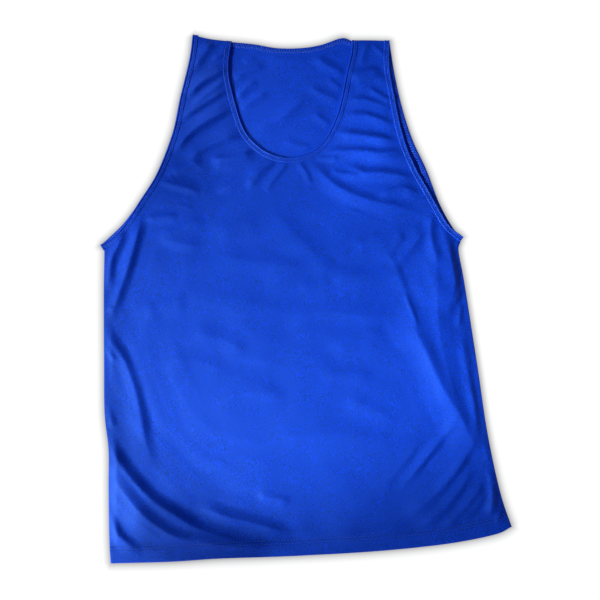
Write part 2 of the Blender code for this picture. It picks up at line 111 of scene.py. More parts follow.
FRONT_FOLDS = (
    ("underarm_left_rim", 5.2, 10, 16, ((-242, 82), (-255, 53), (-264, 32), (-267, 10), (-266, -10))),
    ("underarm_left", 4.4, 10, 20, ((-221, 112), (-224, 85), (-237, 30), (-253, -23), (-265, -60))),
    ("flank_left", 3.8, 11, 34, (
        (-280, -44), (-263, -70), (-241, -99), (-225, -136), (-214, -177), (-206, -215), (-192, -250))),
    ("flank_left_short", 3.4, 9, 12, ((-270, -158), (-258, -182), (-252, -197))),
    ("hem_left_broad", 2.6, 40, 38, (
        (-270, -205), (-250, -262), (-216, -302), (-180, -326), (-130, -344), (-60, -354))),
    ("hem_left_large", 5.8, 13, 34, (
        (-296, -140), (-282, -168), (-270, -192), (-260, -213), (-238, -243), (-219, -265), (-194, -289),
        (-167, -306), (-151, -316), (-133, -324), (-94, -337), (-40, -350))),
    ("hem_left_lower", 6.4, 13, 28, (
        (-256, -240), (-245, -262), (-233, -278), (-208, -306), (-180, -326), (-161, -335), (-140, -340),
        (-108, -344), (-60, -349), (30, -357))),
    ("hem_left_corner", 4.8, 9, 18, (
        (-262, -296), (-257, -308), (-250, -320), (-241, -333), (-226, -346), (-208, -352))),
    ("hem_middle", 4.6, 13, 30, (
        (-140, -294), (-118, -302), (-92, -310), (-75, -313), (-58, -318), (-28, -326), (-6, -330))),
    ("chest_left_a", 4.2, 7, 20, ((-104, 319), (-140, 298), (-164, 274))),
    ("chest_left_b", 3.6, 6, 18, ((-101, 288), (-133, 268), (-176, 238))),
    ("chest_left_c", 5.2, 7, 22, ((-95, 259), (-147, 228), (-184, 190))),
    ("chest_left_d", 4.4, 8, 22, ((-79, 216), (-116, 207), (-168, 178))),
    ("chest_left_e", 3.2, 8, 18, ((-136, 182), (-165, 169), (-190, 158))),
    ("chest_left_f", 4.4, 8, 24, ((-132, 186), (-98, 189), (-66, 202))),
    ("chest_left_g", 2.4, 8, 20, ((-44, 176), (-82, 150), (-122, 130))),
    ("shoulder_left", 2.9, 9, 14, ((-124, 366), (-138, 341), (-154, 318))),
    ("neck_low", 2.4, 9, 18, ((-32, 182), (-52, 165), (-76, 136))),
    ("shoulder_right", 2.9, 10, 18, ((68, 306), (88, 318), (118, 324))),
    ("shoulder_right_low", 2.5, 10, 16, ((76, 288), (98, 304), (128, 314))),
    ("chest_right_a", 3.7, 10, 20, ((46, 226), (82, 223), (103, 220), (142, 213))),
    ("chest_right_b", 3.9, 10, 20, ((26, 199), (90, 199), (115, 196), (155, 202))),
    ("chest_right_c", 3.5, 10, 18, ((66, 181), (91, 167), (117, 167), (166, 159))),
    ("chest_right_d", 3.2, 12, 22, ((10, 190), (53, 148), (98, 128), (172, 110))),
    ("chest_right_e", 2.7, 9, 16, ((104, 131), (130, 140), (147, 144), (172, 135))),
    ("underarm_right_a", 3.0, 10, 14, ((190, 108), (187, 73), (196, 28))),
    ("underarm_right_b", 2.8, 11, 20, ((182, 84), (155, 47), (128, 24))),
    ("flank_right_crest", 3.7, 14, 26, (
        (200, 98), (210, 67), (217, 33), (220, 2), (212, -28), (204, -48))),
    ("flank_right_top", 1.6, 10, 26, ((114, 70), (137, 26), (154, -20), (170, -66))),
    ("flank_right_long", 4.8, 22, 40, (
        (142, -10), (160, -46), (180, -90), (199, -134), (221, -171), (237, -204), (255, -240))),
    ("flank_right_slope", 4.2, 36, 44, ((200, 76), (203, 20), (204, -60), (216, -120), (232, -186))),
    ("flank_right_outer", 2.0, 10, 12, ((224, -62), (233, -122), (240, -165), (243, -218))),
    ("side_right_low", 3.7, 9, 12, ((262, -244), (263, -275), (256, -318))),
    ("hem_right_a", 2.3, 10, 26, ((236, -218), (207, -259), (172, -296), (138, -320))),
    ("hem_right_b", 2.5, 9, 22, ((240, -243), (216, -280), (190, -309), (150, -334))),
    ("hem_right_c", 2.4, 8, 16, ((253, -264), (232, -292), (207, -318), (184, -334))),
    ("hem_right_low", 2.1, 11, 22, ((40, -336), (100, -330), (150, -314))),
    ("middle_a", 1.1, 20, 38, ((-44, 122), (7, 68), (56, 10))),
    ("middle_b", 1.5, 18, 38, ((-124, 50), (-43, 38), (20, 34))),
    ("middle_c", 1.4, 20, 40, ((-26, -42), (32, -30), (130, -40))),
    ("middle_d", 1.3, 24, 44, ((-62, -200), (50, -197), (130, -200))),
    ("middle_e", 1.5, 18, 36, ((-158, -56), (-98, -72), (-66, -96))),
)

FRONT_CREASES = (
    ("side_nick", 1.2, 5, 6, ((-275, -41), (-263, -25))),
    ("side_crease", 1.8, 5, 8, ((-276, -74), (-252, -106))),
    ("chest_left_low", 2.2, 8, 18, ((-140, 132), (-173, 140), (-206, 150))),
    ("strap_left_top", 1.4, 5, 7, ((-132, 368), (-148, 346))),
    ("strap_left_mid", 1.5, 5, 9, ((-104, 350), (-128, 332))),
    ("strap_left_pucker", 1.3, 4, 4, ((-106, 363), (-116, 351))),
    ("strap_left_low", 1.8, 6, 12, ((-100, 308), (-124, 288), (-160, 258))),
    ("neck_low_mid", 1.8, 6, 12, ((-14, 180), (-33, 158), (-50, 134))),
    ("neck_low_right", 1.4, 6, 10, ((-2, 184), (10, 163), (18, 144))),
    ("neck_right_short", 1.7, 6, 10, ((22, 188), (56, 187))),
    ("chest_right_inner", 1.9, 7, 14, ((40, 168), (86, 161))),
    ("chest_right_top", 2.6, 8, 16, ((60, 252), (96, 252), (138, 236))),
    ("chest_right_upper", 2.4, 8, 16, ((64, 272), (92, 276), (134, 262))),
    ("armhole_right_edge", 2.0, 7, 12, ((96, 296), (117, 282), (138, 268))),
    ("strap_right_inner", 1.7, 6, 10, ((84, 326), (92, 352), (98, 366))),
    ("strap_right_outer", 1.3, 5, 8, ((106, 361), (126, 340))),
    ("flank_right_thin", 1.4, 4, 6, ((146, -8), (165, -62))),
    ("flank_right_branch", 1.7, 5, 8, ((232, -2), (212, -26))),
    ("underarm_right_low", 1.4, 6, 10, ((149, 72), (126, 46))),
    ("belly_right_high", 1.2, 15, 28, ((66, 61), (93, 68), (123, 75), (150, 88))),
    ("flank_right_nick", 1.6, 6, 9, ((227, -22), (220, -60))),
    ("side_right_mid", 2.1, 5, 8, ((256, -186), (254, -213), (258, -246))),
    ("corner_right", 2.2, 5, 8, ((274, -282), (271, -305), (260, -322))),
    ("hem_right_d", 1.5, 6, 14, ((222, -178), (196, -210), (174, -234), (144, -270))),
    ("hem_right_e", 1.2, 6, 12, ((246, -200), (224, -238), (200, -270), (180, -290))),
    ("hem_right_f", 1.5, 6, 12, ((254, -276), (238, -301), (214, -322))),
    ("hem_right_g", 1.1, 6, 14, ((204, -196), (170, -240), (130, -284))),
    ("hem_right_h", 1.0, 7, 16, ((170, -206), (140, -246), (104, -288))),
    ("belly_left_high", 1.3, 16, 31, ((-126, 74), (-93, 92), (-58, 101))),
    ("belly_right_mid", 1.3, 16, 31, ((34, 15), (73, 20), (98, 22), (128, 38))),
    ("belly_mid", 1.0, 15, 26, ((-6, 2), (44, 15))),
    ("belly_right_low", 1.3, 15, 28, ((34, -88), (65, -72), (82, -62), (118, -56))),
    ("belly_low", 1.1, 17, 28, ((24, -119), (104, -117))),
    ("belly_left_low", 1.1, 17, 31, ((-120, -150), (-70, -142), (-10, -146))),
    ("belly_left_mid", 1.0, 17, 31, ((-190, -96), (-140, -100), (-96, -116))),
    ("flank_left_high", 1.5, 15, 26, ((-226, -36), (-190, -20), (-156, -10))),
    ("underarm_left_low", 1.6, 12, 23, ((-204, 72), (-167, 90), (-134, 101))),
    ("underarm_left_short", 1.8, 9, 14, ((-224, 100), (-172, 104))),
    ("flank_left_soft", 1.3, 13, 23, ((-136, 52), (-173, 57), (-210, 66))),
    ("belly_right_deep", 1.1, 15, 28, ((60, -150), (98, -165), (136, -184))),
    ("hem_mid_short", 1.5, 10, 18, ((-60, -280), (-10, -290))),
    ("small_a", 0.7, 3, 5, ((-140, 167), (-160, 182))),
    ("small_b", 0.7, 3, 5, ((-182, 152), (-193, 166))),
    ("small_c", 0.6, 3, 5, ((-96, 176), (-122, 168))),
    ("small_d", 0.6, 3, 5, ((-128, 152), (-140, 128))),
    ("small_e", 0.6, 3, 5, ((64, 112), (92, 104))),
    ("small_f", 0.6, 3, 5, ((-176, 118), (-150, 112))),
    ("small_g", 0.6, 3, 5, ((118, 96), (146, 104))),
)

BACK_FOLDS = (
    ("neck_bare_a", 2.1, 10, 14, ((-50, 324), (-78, 315), (-97, 300))),
    ("neck_bare_b", 2.0, 9, 12, ((-60, 300), (-77, 290), (-91, 272))),
    ("neck_bare_c", 1.9, 9, 12, ((-45, 284), (-70, 268), (-88, 256))),
    ("neck_bare_d", 2.2, 14, 18, ((25, 275), (3, 267), (-30, 238), (-74, 219))),
    ("neck_bare_e", 2.0, 10, 14, ((12, 299), (35, 285), (60, 278))),
    ("neck_bare_f", 2.2, 11, 14, ((21, 346), (38, 332), (68, 316))),
    ("neck_bare_g", 1.7, 9, 12, ((18, 258), (32, 247), (47, 236))),
)

BACK_CREASES = (
    ("bare_corner_left", 1.2, 7, 9, ((-65, 338), (-85, 330))),
    ("bare_side_right", 1.2, 7, 9, ((38, 311), (62, 291))),
    ("bare_low", 1.3, 9, 12, ((-25, 217), (-7, 210), (19, 204))),
    ("bare_middle", 1.0, 10, 14, ((-52, 346), (-20, 338), (12, 343))),
)

# Between the folds the cloth lies in faint shallow creases that follow them. Columns: x and y of a place,
# how the creases there are turned from +X in degrees, their length, width and height.
Flow = namedtuple("Flow", "x y turn length width height")

FLOWS = (
    (-135, 295, 42, 42, 11, 0.55),
    (-140, 215, 34, 52, 13, 0.75),
    (-120, 125, 24, 64, 16, 0.85),
    (-30, 145, 48, 50, 14, 0.55),
    (30, 150, -40, 46, 13, 0.55),
    (98, 300, 12, 42, 12, 0.70),
    (105, 215, -6, 60, 13, 1.00),
    (115, 125, -20, 60, 15, 0.85),
    (0, 60, -12, 64, 22, 0.80),
    (70, -30, -4, 60, 23, 0.80),
    (-110, -20, -14, 58, 22, 0.75),
    (-60, -120, -8, 60, 25, 0.80),
    (60, -150, -12, 62, 24, 0.80),
    (-20, -230, -4, 66, 26, 0.80),
    (-240, 40, 76, 50, 12, 0.55),
    (-235, -110, -66, 60, 13, 0.60),
    (-205, -285, -44, 60, 12, 0.60),
    (-80, -310, -14, 60, 14, 0.80),
    (190, 50, -78, 46, 13, 0.60),
    (205, -90, -66, 60, 14, 0.60),
    (195, -270, 47, 60, 11, 0.60),
    (80, -300, 14, 62, 14, 0.70),
)
FLOW_BEND, FLOW_BEND_PITCH = 0.25, 70   # how far the creases bend, in widths, and over what length
FLOW_REACH = 62.0     # how far a place's creases carry

FOLD_FADE = 0.27      # share of a fold's length over which it rises and sinks at each end
CREST = -0.35         # where the crest is, and the foot, in widths of the steep side from the path
FOOT = 0.85
ROUNDNESS = 0.4       # 0 is steepest at the crest, 1 is steepest halfway down
UNEVEN = 0.05         # how much a fold's height wavers along it
UNEVEN_PITCH = 46.0   # length of such a waver

# Long swells of a panel. Columns: wavelength, height, seed.
FRONT_SWELLS = ((62, 0.7, 3), (27, 0.3, 4))
BACK_SWELLS = ((48, 0.35, 21), (19, 0.15, 22))
BACK_FLOW = 0.6       # share of the faint creases that the bare part of the back has


# ------------ curves in the plane
def legs(curve):
    """Length of each leg of a curve."""
    return np.linalg.norm(np.diff(curve, axis=0), axis=1)


def run_of(curve):
    """How far along the curve each of its points is."""
    return np.concatenate([[0], np.cumsum(legs(curve))])


def smooth_curve(places, step):
    """Points about step apart on a smooth curve through the places, ends included."""
    p = np.array(places, float)
    ends = np.vstack([2 * p[0] - p[1], p, 2 * p[-1] - p[-2]])
    dense = []
    for a, b, c, d in zip(ends, ends[1:], ends[2:], ends[3:]):
        for t in np.arange(0, 1, 0.05):
            dense.append(0.5 * (2 * b + (c - a) * t + (2 * a - 5 * b + 4 * c - d) * t ** 2
                                + (3 * b - a - 3 * c + d) * t ** 3))
    dense = np.array(dense + [p[-1]])
    run = run_of(dense)
    stations = np.linspace(0, run[-1], max(2, round(run[-1] / step) + 1))
    return np.column_stack([np.interp(stations, run, dense[:, k]) for k in (0, 1)])


def moved_left(curve, distance):
    """The curve moved sideways, to the left as it is walked."""
    along = np.gradient(curve, axis=0)
    along /= np.linalg.norm(along, axis=1)[:, None]
    return curve + distance * np.column_stack([-along[:, 1], along[:, 0]])


def locate(curve, points, reach=np.inf):
    """For each point: how far along the curve its nearest place is, and how far to the curve's left.

    Points further off than the reach come back as infinitely far. The third result is the curve's length.
    """
    along = np.zeros(len(points))
    across = np.full(len(points), np.inf)
    near = np.all((points >= curve.min(axis=0) - reach) & (points <= curve.max(axis=0) + reach), axis=1)
    spots = points[near]
    best = np.full(len(spots), np.inf)
    place = np.zeros(len(spots))
    side = np.ones(len(spots))
    start = 0.0
    for a, b in zip(curve, curve[1:]):
        leg = b - a
        length = np.linalg.norm(leg)
        leg = leg / length
        rel = spots - a
        t = np.clip(rel @ leg, 0, length)
        away = rel - t[:, None] * leg
        distance = np.hypot(away[:, 0], away[:, 1])
        nearer = distance < best
        best[nearer] = distance[nearer]
        place[nearer] = start + t[nearer]
        side[nearer] = np.where(leg[0] * rel[:, 1] - leg[1] * rel[:, 0] >= 0, 1.0, -1.0)[nearer]
        start += length
    along[near] = place
    across[near] = side * best
    return along, across, start


def distance_to(curves, points, reach=np.inf):
    """Distance from each point to the nearest of some curves."""
    return np.min([np.abs(locate(curve, points, reach)[1]) for curve in curves], axis=0)


def is_inside(loop, points):
    """Whether each point lies inside a closed loop."""
    x, y = points[:, 0], points[:, 1]
    inside = np.zeros(len(points), bool)
    for (ax, ay), (bx, by) in zip(loop, np.roll(loop, -1, axis=0)):
        if ay != by:
            inside ^= ((ay > y) != (by > y)) & (x < (bx - ax) * (y - ay) / (by - ay) + ax)
    return inside


def ease(share):
    """0 to 1 without corners, for a share that is cut off at 0 and 1."""
    share = np.clip(share, 0, 1)
    return share * share * (3 - 2 * share)


def edge(places, step=EDGE_STEP):
    return smooth_curve(places, step)


NECK_RIM = edge(NECK_FRONT)
NECK_RIM_BACK = edge(NECK_BACK)
SEAMS = [edge(places) for places in (SHOULDER_LEFT, SHOULDER_RIGHT, SIDE_LEFT, SIDE_RIGHT)]
ARMHOLE_RIMS = [edge(ARMHOLE_LEFT_FRONT), edge(ARMHOLE_RIGHT_FRONT)]
HEM_RIM = edge(HEM_FRONT)
HEM_RIM_BACK = edge(HEM_BACK)

# Ripples that sewing pulls into the front. Columns: edge, height, pitch, reach, seed.
PUCKERS = (
    (NECK_RIM, 0.35, 22, 16, 11),
    (ARMHOLE_RIMS[0], 0.4, 24, 18, 13),
    (ARMHOLE_RIMS[1], 0.4, 24, 18, 15),
    (HEM_RIM, 0.3, 26, 30, 17),
)


# ------------ heights over the surface
def flank(share):
    """Height of one side of a fold: 1 at the crest, 0 at the foot."""
    share = np.clip(share, 0, 1)
    return (1 - share) ** 2 * (1 + 2 * ROUNDNESS * share)


def fold_height(folds, points):
    """Height that a table of folds adds at each point; each fold wavers a little along its length."""
    total = np.zeros(len(points))
    for number, fold in enumerate(map(Fold._make, folds)):
        reach = fold.steep + fold.gentle
        along, across, length = locate(smooth_curve(fold.path, 5.0), points, reach)
        fade = FOLD_FADE * length
        strength = ease(along / fade) * ease((length - along) / fade)
        strength *= 1 + UNEVEN * np.sin(2 * math.pi * along / UNEVEN_PITCH + 2.4 * number)
        from_crest = across - CREST * fold.steep
        width = np.where(from_crest > 0, (FOOT - CREST) * fold.steep, -fold.gentle)
        total += fold.height * strength * flank(from_crest / width)
    return total


def soft_noise(points, wavelength, seed):
    """Smooth noise between -1 and 1, with bumps about a wavelength across."""
    size = 64
    grid = np.random.default_rng(seed).uniform(-1, 1, (size, size))
    cell = points / wavelength
    corner = np.floor(cell).astype(int)
    t = cell - corner
    t = t * t * t * (t * (6 * t - 15) + 10)
    at = [[grid[(corner[:, 0] + i) % size, (corner[:, 1] + j) % size] for j in (0, 1)] for i in (0, 1)]
    low = at[0][0] * (1 - t[:, 0]) + at[1][0] * t[:, 0]
    high = at[0][1] * (1 - t[:, 0]) + at[1][1] * t[:, 0]
    return low * (1 - t[:, 1]) + high * t[:, 1]


def swell(swells, points):
    return sum(height * soft_noise(points, wavelength, seed) for wavelength, height, seed in swells)


def flow_height(points):
    """The faint creases between the folds: stretched noise that turns with the folds around it."""
    total, weights = np.zeros(len(points)), np.full(len(points), 1e-6)
    for number, flow in enumerate(map(Flow._make, FLOWS)):
        rel = points - np.array((flow.x, flow.y), float)
        weight = np.exp(-np.sum(rel ** 2, axis=1) / (2 * FLOW_REACH ** 2))
        turn = math.radians(flow.turn)
        along = rel @ np.array((math.cos(turn), math.sin(turn)))
        across = rel @ np.array((-math.sin(turn), math.cos(turn)))
        bend = FLOW_BEND * soft_noise(points, FLOW_BEND_PITCH, 80 + number)
        stretched = np.column_stack([along / flow.length, across / flow.width + bend]) + 20
        total += weight * flow.height * soft_noise(stretched, 1.0, 60 + number)
        weights += weight
    return total / weights


def puckers(curve, points, height, pitch, reach, seed):
    """Small uneven ripples square to a sewn edge, which die out away from it."""
    along, across, _ = locate(curve, points, reach)
    line = np.column_stack([along / pitch, np.zeros(len(points))])
    ripple = 0.65 * soft_noise(line, 0.5, seed) + 0.35 * soft_noise(line, 0.21, seed + 1)
    return height * ripple * (1 - ease(np.abs(across) / reach))


def doubled(distance, width):
    """How much of the doubling there is this far from an edge: 1 on it, 0 past the width."""
    return 1 - ease((distance / width - DOUBLED_FULL) / (DOUBLED_END - DOUBLED_FULL))


def neck_side(points):
    """Distance from the front neck edge: positive on the front's cloth, negative in the opening."""
    across = np.abs(locate(NECK_RIM, points)[1])
    return np.where(is_inside(np.vstack([NECK_RIM, NECK_RIM_BACK[::-1]]), points), -across, across)


def front_under(points):
    """Underside of the front panel: seated on the back at the seams, lifted and folded between them."""
    from_seam = ease(distance_to(SEAMS, points, 1.1 * SEAM_RISE) / SEAM_RISE)
    from_hem = ease(distance_to([HEM_RIM], points, 1.1 * HEM_REACH) / HEM_REACH)
    from_hem = HEM_EDGE_SHARE + (1 - HEM_EDGE_SHARE) * from_hem
    neck = NECK_LIFT * (1 - ease(distance_to([NECK_RIM], points, LIFT_REACH) / LIFT_REACH))
    armhole = ARMHOLE_LIFT * (1 - ease(distance_to(ARMHOLE_RIMS, points, LIFT_REACH) / LIFT_REACH))
    folds = fold_height(FRONT_FOLDS, points) + fold_height(FRONT_CREASES, points)
    soft = swell(FRONT_SWELLS, points) + flow_height(points)
    lift = from_hem * (LAY_LIFT + folds + soft) + neck + armhole
    ripples = sum(puckers(rim, points, *rest) for rim, *rest in PUCKERS)
    return EDGE_THICK + SEAM_GAP + from_seam * (lift + ripples)


def front_over(points):
    """Upper side of the front panel: its wall, thicker where the hem is turned up."""
    hem = doubled(distance_to([HEM_RIM], points, 2 * HEM_DEPTH), HEM_DEPTH)
    return front_under(points) + WALL + (EDGE_THICK - WALL) * hem


def back_over(points):
    """Upper side of the back panel: plain under the front, creased where the neck leaves it bare."""
    hem = doubled(distance_to([HEM_RIM_BACK], points, 2 * HEM_DEPTH), HEM_DEPTH)
    seam = doubled(distance_to(SEAMS, points, 2 * SEAM_ALLOWANCE), SEAM_ALLOWANCE)
    bare = ease(-neck_side(points) / STRIP_WIDTH)
    folds = fold_height(BACK_FOLDS, points) + fold_height(BACK_CREASES, points)
    soft = swell(BACK_SWELLS, points) + BACK_FLOW * flow_height(points)
    return WALL + (EDGE_THICK - WALL) * np.maximum(hem, seam) + bare * (folds + soft)


def flat(points):
    """Underside of what rests on the surface."""
    return np.zeros(len(points))


# ------------ meshes
FAR = 60.0            # a distance kept on a mesh stops here
KEPT_SHARE = 0.9      # a point moved inwards stays if it is this far in, as a share of the move
SQUARE = ((-1, -1), (1, -1), (1, 1), (-1, 1))


def add_mesh(name, verts, faces, finish):
    """A smooth-shaded object from points in millimetres."""
    mesh = bpy.data.meshes.new(name)
    mesh.from_pydata((np.asarray(verts) * MM).tolist(), [], faces)
    mesh.shade_smooth()
    mesh.materials.append(finish)
    made = bpy.data.objects.new(name, mesh)
    bpy.context.scene.collection.objects.link(made)
    return made


def store(piece, name, values):
    """Keep one number a point on the mesh, for its material to read."""
    piece.data.attributes.new(name, "FLOAT", "POINT").data.foreach_set("value", values.astype(np.float32))


def lattice(loop, step, margin, keep=None):
    """A triangular lattice inside a closed loop, no nearer to it than a margin."""
    low, high = loop.min(axis=0), loop.max(axis=0)
    xs = np.arange(low[0], high[0], step)
    rows = [np.column_stack([xs + (step / 2 if row % 2 else 0.0), np.full(len(xs), y)])
            for row, y in enumerate(np.arange(low[1], high[1], step * math.sqrt(0.75)))]
    points = np.vstack(rows)
    if keep is not None:
        points = points[keep(points)]
    points = points[is_inside(loop, points)]
    closed = np.vstack([loop, loop[:1]])
    return points[distance_to([closed], points, step) > margin]


def inner_rows(loop, depths):
    """Rows of points that follow a clockwise loop inside it, at these depths."""
    closed = np.vstack([loop, loop[:1]])
    kept = []
    for depth in depths:
        row = moved_left(closed, -depth)[:-1]
        row = row[is_inside(loop, row)]
        kept.append(row[distance_to([closed], row, 2 * depth) > KEPT_SHARE * depth])
    return np.vstack(kept)


def panel_loop(neck, armhole_right, hem, armhole_left):
    """Clockwise loop of a panel, which runs a little way under the strips at neck and armholes."""
    neck_edge, right_edge, left_edge = (moved_left(edge(places), -STRIP_COVER)
                                        for places in (neck, armhole_right, armhole_left))

    def between(seam, start, end):
        return seam[(seam[:, 0] > start[0] + 1) & (seam[:, 0] < end[0] - 1)]

    shoulder_left = between(SEAMS[0][1:-1], left_edge[-1], neck_edge[0])
    shoulder_right = between(SEAMS[1][1:-1], neck_edge[-1], right_edge[0])
    return np.vstack([shoulder_left, neck_edge, shoulder_right, right_edge, edge(SIDE_RIGHT)[1:-1],
                      edge(hem), edge(SIDE_LEFT)[1:-1], left_edge])


def shell(name, loop, inner, under, over, finish):
    """A closed thin shell between two height functions, with rounded rims."""
    spots = [Vector(spot) for spot in np.vstack([loop, inner])]
    found, _, faces, _, _, _ = delaunay_2d_cdt(spots, [], [list(range(len(loop)))], 1, 1e-4)
    flat_places = np.array(found)
    faces = np.array(faces)
    a, b, c = (flat_places[faces[:, k]] for k in range(3))
    turn = (b[:, 0] - a[:, 0]) * (c[:, 1] - a[:, 1]) - (b[:, 1] - a[:, 1]) * (c[:, 0] - a[:, 0])
    faces[turn < 0] = faces[turn < 0][:, ::-1]
    closed = np.vstack([loop, loop[:1]])
    depth = np.clip(distance_to([closed], flat_places, 2 * EDGE_ROUND) / EDGE_ROUND, 0, 1)
    full = RIM_SHARE + (1 - RIM_SHARE) * np.sqrt(1 - (1 - depth) ** 2)
    low, high = under(flat_places), over(flat_places)
    middle, half = (low + high) / 2, (high - low) / 2
    top = np.column_stack([flat_places, middle + half * full])
    bottom = np.column_stack([flat_places, middle - half * full])
    count = len(flat_places)
    directed = np.vstack([faces[:, [0, 1]], faces[:, [1, 2]], faces[:, [2, 0]]])
    _, first, times = np.unique(np.sort(directed, axis=1), axis=0, return_index=True, return_counts=True)
    rim = directed[first[times == 1]]
    walls = np.column_stack([rim[:, 1], rim[:, 0], rim[:, 0] + count, rim[:, 1] + count])
    every = faces.tolist() + (faces[:, ::-1] + count).tolist() + walls.tolist()
    piece = add_mesh(name, np.vstack([top, bottom]), every, finish)
    from_hem = distance_to([HEM_RIM, HEM_RIM_BACK], flat_places, FAR).clip(0, FAR)
    store(piece, "from_hem", np.tile(from_hem, 2))
    return piece


# Upper outline of a strip's section. Columns: distance from the rim, height over the cloth's underside.
STRIP_FRONT = ((0.0, 0.9), (0.1, 1.4), (0.45, 1.95), (0.95, 2.25), (1.5, 2.3), (2.05, 2.1), (2.5, 1.65),
               (2.85, 1.4), (3.2, 1.45), (3.7, 1.7), (4.6, 1.85), (6.2, 1.85), (7.0, 1.7), (7.6, 1.6),
               (8.2, 1.45), (8.6, 1.0))
STRIP_BACK = ((0.0, 0.9), (0.1, 1.3), (0.5, 1.75), (1.1, 1.9), (2.0, 1.85), (3.4, 1.8), (5.2, 1.8),
              (7.0, 1.8), (8.0, 1.75), (8.4, 1.5), (8.6, 1.0))
STRIP_UNDER = ((8.3, 0.25), (7.6, 0.0), (4.0, 0.0), (1.0, 0.0), (0.3, 0.3))
STRIP_SEWN = 1.75     # height of a strip where the needle goes through
STRIP_WAVER = 0.05    # how much its thickness wavers, and the length of a waver
STRIP_WAVER_PITCH = 9.0


def strip(name, places, section, under, finish, seed):
    """A strip along an edge: its section is lofted along the rim, a little uneven as sewn cloth is."""
    rim = edge(places, STRIP_STEP)
    outline = list(section) + list(STRIP_UNDER)
    stations = np.arange(len(rim)) * STRIP_STEP
    waver = soft_noise(np.column_stack([stations, np.zeros(len(rim))]), STRIP_WAVER_PITCH, seed)
    verts = np.empty((len(rim), len(outline), 3))
    for k, (depth, height) in enumerate(outline):
        row = moved_left(rim, -depth)
        row_height = height * (1 + STRIP_WAVER * waver) if k < len(section) else height
        verts[:, k, :2] = row
        verts[:, k, 2] = under(row) + row_height
    index = np.arange(len(rim) * len(outline)).reshape(len(rim), len(outline))
    here, ahead = index[:-1], index[1:]
    quads = np.stack([here, np.roll(here, -1, axis=1), np.roll(ahead, -1, axis=1), ahead], axis=-1)
    caps = [index[0, ::-1].tolist(), index[-1].tolist()]
    return add_mesh(name, verts.reshape(-1, 3), quads.reshape(-1, 4).tolist() + caps, finish)


# ------------ sewing
HEM_ROWS = (16.6, 20.6)  # the hem's two stitch rows, from its edge
STRIP_ROWS = (3.9, 7.5)  # a strip's two stitch rows, from its rim
INSIDE_ROWS = (1.9, 7.9)  # inside it, the looper threads cross between these
STITCH_PITCH = 4.0
STITCH_LENGTH = 2.6
STITCH_RADII = (0.15, 0.28, 0.32, 0.28, 0.15)
LOOPER_PITCH = 3.8
LOOPER_RADII = (0.2, 0.4, 0.44, 0.4, 0.2)
HEM_LIFT, STITCH_LIFT, LOOPER_LIFT = 0.12, 0.15, 0.3   # of a thread's centre over the cloth
SIDES = 5             # of a rod that stands for a stitch


def rods(name, lines, radii, finish):
    """Many small closed rods in one mesh. lines is an array (rod, place, xyz)."""
    count, places = lines.shape[:2]
    along = np.gradient(lines, axis=1)
    along /= np.linalg.norm(along, axis=2)[..., None]
    side = np.cross(along, (0.0, 0.0, 1.0))
    side /= np.linalg.norm(side, axis=2)[..., None]
    up = np.cross(side, along)
    angles = np.arange(SIDES) * 2 * math.pi / SIDES
    ring = (side[..., None, :] * np.cos(angles)[:, None] + up[..., None, :] * np.sin(angles)[:, None])
    verts = lines[..., None, :] + ring * np.asarray(radii)[:, None, None]
    index = np.arange(count * places * SIDES).reshape(count, places, SIDES)
    here, ahead = index[:, :-1], index[:, 1:]
    quads = np.stack([here, ahead, np.roll(ahead, -1, axis=2), np.roll(here, -1, axis=2)], axis=-1)
    caps = np.vstack([index[:, 0], index[:, -1, ::-1]])
    return add_mesh(name, verts.reshape(-1, 3), quads.reshape(-1, 4).tolist() + caps.tolist(), finish)


def on_curve(curve, stations):
    """Places this far along a curve."""
    run = run_of(curve)
    return np.stack([np.interp(stations, run, curve[:, k]) for k in (0, 1)], axis=-1)


def lying_on(over, places, heights):
    """Flat places of rods, lifted this much over a surface."""
    z = over(places.reshape(-1, 2)).reshape(places.shape[:2]) + heights
    return np.concatenate([places, z[..., None]], axis=-1)


def stitch_lines(rim, rows, over, lift):
    """Centre lines of straight stitches in rows along a rim; they dip into the cloth at both ends."""
    shares = np.array([-0.5, -0.38, 0.0, 0.38, 0.5])
    heights = np.array([-0.35, 0.5, 1.0, 0.5, -0.35]) * lift
    lines = []
    for row in rows:
        curve = moved_left(rim, -row)
        middles = np.arange(STITCH_PITCH / 2, legs(curve).sum(), STITCH_PITCH)
        lines.append(lying_on(over, on_curve(curve, middles[:, None] + shares * STITCH_LENGTH), heights))
    return np.concatenate(lines)


def zigzag_lines(curve_a, curve_b, over, lift):
    """Centre lines of looper threads that cross a band from one curve to the other and back."""
    pitch, total = LOOPER_PITCH, legs(curve_a).sum()
    starts = np.arange(pitch / 2, total - pitch, pitch)
    shares = np.array([0.0, 0.08, 0.5, 0.92, 1.0])
    lines = []
    for one, other, shift in ((curve_a, curve_b, 0.0), (curve_b, curve_a, pitch / 2)):
        scale = legs(other).sum() / total
        first, last = on_curve(one, starts + shift), on_curve(other, (starts + shift + pitch / 2) * scale)
        lines.append(first[:, None] + (last - first)[:, None] * shares[:, None])
    return lying_on(over, np.concatenate(lines), np.array([-0.4, 0.6, 1.0, 0.6, -0.4]) * lift)


